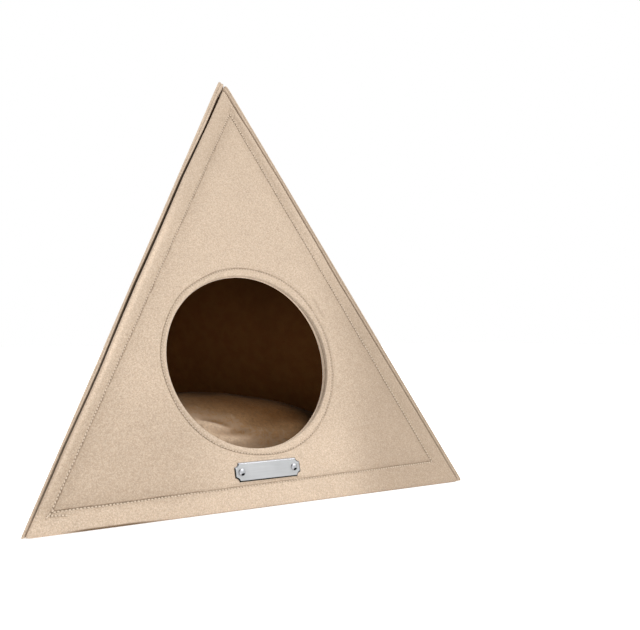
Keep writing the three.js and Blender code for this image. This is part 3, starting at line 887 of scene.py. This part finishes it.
CUSHION_SEAM = 38.0  # height of the seam round its side
COVER_STANDS_BACK = 3.5  # how much smaller than the solid the cover starts
SWELL_CAP = 4.2  # how far the simulation may move a point
CUSHION_CREASES = [  # from, by way of, to, half width, how deep (below 0 it stands up), how much darker (painted shade in the fold, painted light below 0)
    ((-66, -92, 92), (-52, -93, 91), (-30, -101, 82), 2.2, 1.5, 0.17),
    ((-72, -96, 88), (-56, -98, 86), (-32, -104, 77), 3.6, -2.6, -0.22),
    ((-60, -104, 78), (-38, -105, 75), (-8, -104, 74), 3.8, 1.6, 0.12),
    ((-56, -109, 71), (-36, -108, 69), (-8, -106, 68), 5.0, -1.6, -0.14),
    ((-14, -98, 86), (8, -97, 84), (34, -94, 83), 5.0, 1.5, 0.1),
    ((22, -92, 90), (44, -84, 89), (66, -72, 85), 7.0, 1.6, 0.08),
]


def apply_modifier(piece):
    """The evaluated mesh becomes the piece's own."""
    view = bpy.context.evaluated_depsgraph_get()
    mesh = bpy.data.meshes.new_from_object(piece.evaluated_get(view))
    piece.modifiers.clear()
    piece.data = mesh


def read_points(piece):
    flat = np.empty(len(piece.data.vertices) * 3)
    piece.data.vertices.foreach_get("co", flat)
    return flat.reshape(-1, 3) * 1000


def write_points(piece, points):
    piece.data.vertices.foreach_set("co", (points * 0.001).ravel())
    piece.data.update()


def normals_of(piece):
    flat = np.empty(len(piece.data.vertices) * 3)
    piece.data.vertices.foreach_get("normal", flat)
    return flat.reshape(-1, 3)


def along_crease(points, start, middle, end, wide):
    """1 on a bent line in space, fading beside it and towards its ends. Front to back counts for less."""
    t = np.linspace(0, 1, 25)[:, None]
    line = np.array(start) * (1 - t) ** 2 + 2 * t * (1 - t) * np.array(middle) + t**2 * np.array(end)
    scale = np.array([1, 0.35, 1])
    far = np.linalg.norm((points[:, None] - line[None]) * scale, axis=2)
    nearest = far.argmin(axis=1)
    return smooth_bump(far.min(axis=1) / wide) * (4 * t * (1 - t))[nearest, 0] ** 0.6


def pile_shade(x, y):
    """Painted light and shade on the pile: light at the front on the left, brown towards the back."""
    right = np.clip((x + 55) / 100, -0.2, 0.95)
    back = np.clip((y + 110) / 100, -0.05, 0.65)
    fading = 0.49 + 2.44 * right + 4.94 * back - 0.88 * right * back - 1.26 * right**2 - 3.67 * back**2
    return np.interp(fading, -np.log([0.49, 0.27, 0.15, 0.105, 0.074]), [0, 0.32, 0.5, 0.8, 1.0])


def cushion_piece():
    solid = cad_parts["cushion"].data.copy()
    piece = bpy.data.objects.new("cushion_cover", solid)
    bpy.context.scene.collection.objects.link(piece)
    shaper = bmesh.new()
    shaper.from_mesh(solid)
    bmesh.ops.remove_doubles(shaper, verts=shaper.verts, dist=1e-5)
    shaper.to_mesh(solid)
    shaper.free()
    remesh = piece.modifiers.new("remesh", "REMESH")
    remesh.mode = "VOXEL"
    remesh.voxel_size = 0.005
    apply_modifier(piece)
    start = read_points(piece)
    start -= COVER_STANDS_BACK * normals_of(piece)
    write_points(piece, start)
    swell(piece, start)
    smooth = piece.modifiers.new("smooth", "SUBSURF")
    smooth.levels = 1
    apply_modifier(piece)

    points, normals = read_points(piece), normals_of(piece)
    x, y, z = points[:, 0], points[:, 1] - AXIS_Y, points[:, 2]
    move = 0.9 * wander(81, 40, x, y, z) + 0.5 * wander(82, 16, x, y, z) + 0.25 * wander(83, 6, x, y, z)
    # Painted light and shade on the pile, darker in the folds' hollows and lighter on their ridges.
    painted_light_and_shade = pile_shade(x, y)
    for start, middle, end, wide, deep, darker in CUSHION_CREASES:
        fold = along_crease(np.stack([x, y, z], -1), start, middle, end, wide)
        move = move - deep * fold
        painted_light_and_shade = painted_light_and_shade + darker * fold
    move = move + 4.5 * np.exp(-((x - 85) ** 2 + (y + 30) ** 2) / 45**2) * ease(0.2, 0.7, normals[:, 2])
    move = move - 2.2 * smooth_bump((z - CUSHION_SEAM) / 2.4) * (1 - np.abs(normals[:, 2]))
    points = points + normals * move[:, None]
    write_points(piece, keep_inside(points))
    layer = piece.data.attributes.new("shade", "FLOAT", "POINT")
    layer.data.foreach_set("value", np.clip(painted_light_and_shade, 0, 1).astype(np.float32))
    piece.data.materials.clear()
    piece.data.materials.append(PLUSH)
    piece.data.shade_smooth()
    settle(piece, ("cushion",))


def swell(piece, start):
    """Blows the cover up a little as cloth, and caps how far any point goes."""
    cloth = piece.modifiers.new("cloth", "CLOTH")
    cloth.settings.use_pressure = True
    cloth.settings.uniform_pressure_force = 4
    cloth.settings.effector_weights.gravity = 0
    cloth.settings.quality = 5
    scene = bpy.context.scene
    for number in range(1, 21):
        scene.frame_set(number)
    apply_modifier(piece)
    scene.frame_set(1)
    moved = read_points(piece) - start
    far = np.linalg.norm(moved, axis=1, keepdims=True)
    capped = moved * np.minimum(1, SWELL_CAP / np.maximum(far, 1e-6))
    write_points(piece, start + capped)


def keep_inside(points):
    """Keeps the cushion clear of the floor, the linings and the front wall."""
    x, y, z = points[:, 0].copy(), points[:, 1] - AXIS_Y, points[:, 2].copy()
    for turn, thick in ((0, 12.5), (-THIRD_TURN, 8.6), (THIRD_TURN, 8.6)):
        out_x, out_y = math.sin(turn), -math.cos(turn)
        limit = FLOOR_REACH - z * math.tan(LEAN) - thick / math.cos(LEAN)
        past = np.maximum(x * out_x + y * out_y - limit, 0)
        x, y = x - past * out_x, y - past * out_y
    z = np.maximum(z, SIDE_THICK + GAP + 0.1)
    return np.stack([x, y + AXIS_Y, z], -1)


cushion_piece()


# The metal plate and its rivets

def plate_outline():
    """Points round the plate and the directions that point out of it. Each corner is scooped out."""
    half_wide, half_high, scoop = PLATE["wide"] / 2, PLATE["high"] / 2, PLATE["scoop"]
    corners = [(1, 1), (-1, 1), (-1, -1), (1, -1)]
    points, outward = [], []
    steps = 10
    for number, (side_u, side_v) in enumerate(corners):
        begin = math.pi / 2 * (number - 1)
        for step in range(steps + 1):
            turn = begin - step / steps * math.pi / 2
            arm = np.array([math.cos(turn), math.sin(turn)])
            points.append(np.array([side_u * half_wide, side_v * half_high]) + scoop * arm)
            at_end = step in (0, steps)
            outward.append(at_end * np.array([side_u, side_v]) * np.abs(arm[::-1]) - arm)
    return np.array(points), np.array(outward)


def bevelled_plate():
    """The plate from its back over the bevel to the middle of its face. Each row stays inside its edges."""
    points, outward = plate_outline()
    rows = []

    def add(at, height):
        rows.append(stand(0, PLATE["u"] + at[:, 0], np.full(len(at), height), PLATE["v"] + at[:, 1]))

    for inset, height in (
        (0.5, GAP), (0.1, 0.33), (0.0, 0.4), (0.1, 0.55),
        (0.5, 0.85), (0.95, 1.12), (1.2, 1.24), (1.4, PLATE_FACE),
    ):
        limit = np.array([PLATE["wide"], PLATE["high"]]) / 2 - inset
        at = np.clip(points - outward * inset, -limit, limit)
        add(at, height)
    for share in (0.9, 0.6, 0.3):
        add(at * share, PLATE_FACE)
    middles = stand(0, np.full(2, PLATE["u"]), np.array([GAP, PLATE_FACE]), np.full(2, PLATE["v"]))
    points, faces = closed_body(rows, middles)
    make_piece("bare_plate", points, faces, STEEL, ("name_plate",), smooth=False)


def rivet(name, side, node):
    """A rivet with a short shank behind the plate and a domed head."""
    profile = [(1.3, -0.3), (1.3, 1.0), (3.8, 1.05), (4.0, 1.2), (RIVET_HEAD, RIVET_SHOULDER)]
    for step in range(1, 10):
        bend = step / 10 * math.pi / 2
        profile.append((RIVET_HEAD * math.cos(bend), RIVET_SHOULDER + RIVET_CROWN * math.sin(bend)))
    centre = PLATE["u"] + side * RIVET_SPACING / 2
    turn = np.arange(40) / 40 * 2 * math.pi
    rows = [
        stand(0, centre + out * np.cos(turn), height + GAP + 0 * turn, PLATE["v"] + out * np.sin(turn))
        for out, height in profile
    ]
    middles = stand(0, np.full(2, centre), np.array([0.0, 3.36]), np.full(2, PLATE["v"]))
    points, faces = closed_body(rows, middles)
    make_piece(name, points, faces, POLISH, (node,))


bevelled_plate()
rivet("dome_left", -1, "rivet_left")
rivet("dome_right", 1, "rivet_right")


# Floor, light and camera

def studio_floor():
    """A wide pale floor just under the house."""
    look = Look("studio floor", Roughness=0.9, Specular_IOR_Level=0.1,
                Emission_Color=(1, 1, 1, 1), Emission_Strength=0.55)
    haze = look.grain(300, 2, 0.5)
    look.paint(look.dimmed((0.9, 0.9, 0.9), look.sum((haze, 0.04), start=0.96)))
    mesh = bpy.data.meshes.new("studio_floor")
    far, low = 9.0, -0.0006
    corners = [(-far, -far, low), (far, -far, low), (far, far, low), (-far, far, low)]
    mesh.from_pydata(corners, [], [(0, 1, 2, 3)])
    mesh.materials.append(look.material)
    piece = bpy.data.objects.new("studio_floor", mesh)
    bpy.context.scene.collection.objects.link(piece)


def sun(name, travels, spread, strength):
    """A sun lamp: the way its light travels, its spread in degrees and its strength."""
    data = bpy.data.lights.new(name, "SUN")
    data.angle = math.radians(spread)
    data.energy = strength
    lamp = bpy.data.objects.new(name, data)
    lamp.rotation_euler = Vector(travels).to_track_quat("-Z", "Y").to_euler()
    bpy.context.scene.collection.objects.link(lamp)


def studio():
    """Soft light all round. The camera sees the world white, and the house is lit by a dimmer one."""
    scene = bpy.context.scene
    scene.view_settings.view_transform = "Standard"
    world = bpy.data.worlds.new("studio")
    scene.world = world
    world.use_nodes = True
    tree = world.node_tree
    sky = tree.nodes["Background"]
    sky.inputs["Color"].default_value = (1, 1, 1, 1)
    seen = tree.nodes.new("ShaderNodeMix")
    tree.links.new(tree.nodes.new("ShaderNodeLightPath").outputs["Is Camera Ray"], seen.inputs[0])
    seen.inputs[2].default_value = 0.40
    seen.inputs[3].default_value = 1.0
    tree.links.new(seen.outputs[0], sky.inputs["Strength"])
    studio_floor()
    sun("key", (-0.36, 0.34, -0.87), 36, 2.55)
    sun("front fill", (0.1, 0.98, -0.12), 30, 0.35)
    sun("left fill", (0.80, 0.50, -0.33), 60, 0.4)
    sun("back fill", (0.35, -0.80, -0.50), 80, 0.8)


def camera():
    data = bpy.data.cameras.new("camera")
    data.sensor_width = 36
    data.lens = 43.12
    data.clip_start = 0.05
    data.clip_end = 60
    eye = bpy.data.objects.new("camera", data)
    eye.location = (-0.3985, -0.9647, 0.1877)
    eye.rotation_euler = Vector((0.5232, 0.8520, 0.0231)).to_track_quat("-Z", "Y").to_euler()
    bpy.context.scene.collection.objects.link(eye)
    bpy.context.scene.camera = eye


studio()
camera()
